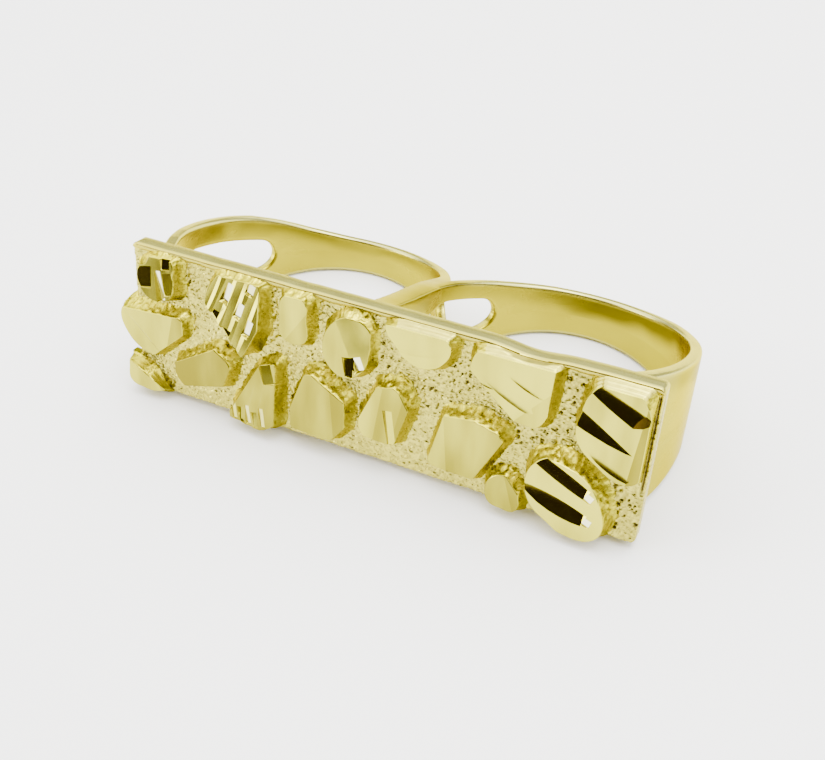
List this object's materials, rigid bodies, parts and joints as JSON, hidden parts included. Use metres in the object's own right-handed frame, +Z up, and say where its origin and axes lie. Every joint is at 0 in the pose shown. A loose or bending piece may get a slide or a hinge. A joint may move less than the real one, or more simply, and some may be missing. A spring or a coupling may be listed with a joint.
{
  "type": "two-finger nugget ring",
  "caption": "Wide gold ring worn across two neighbouring fingers: a long plate covered in raised, diamond-cut nuggets, with two tapering pierced bands side by side behind it.",
  "frame": {"origin": "middle of the bounding box on the ground the ring rests on", "axes": "+X along the plate to the right as seen from the front, -Y the way the nuggets face, +Z up; the fingers' axis leans back from +Z by the ring's own lean"},
  "size_m": [0.0434, 0.0236, 0.0132],
  "materials": {
    "gold": "polished"
  },
  "bodies": {
    "root": {"nugget_ring": "gold"}
  },
  "joints": []
}
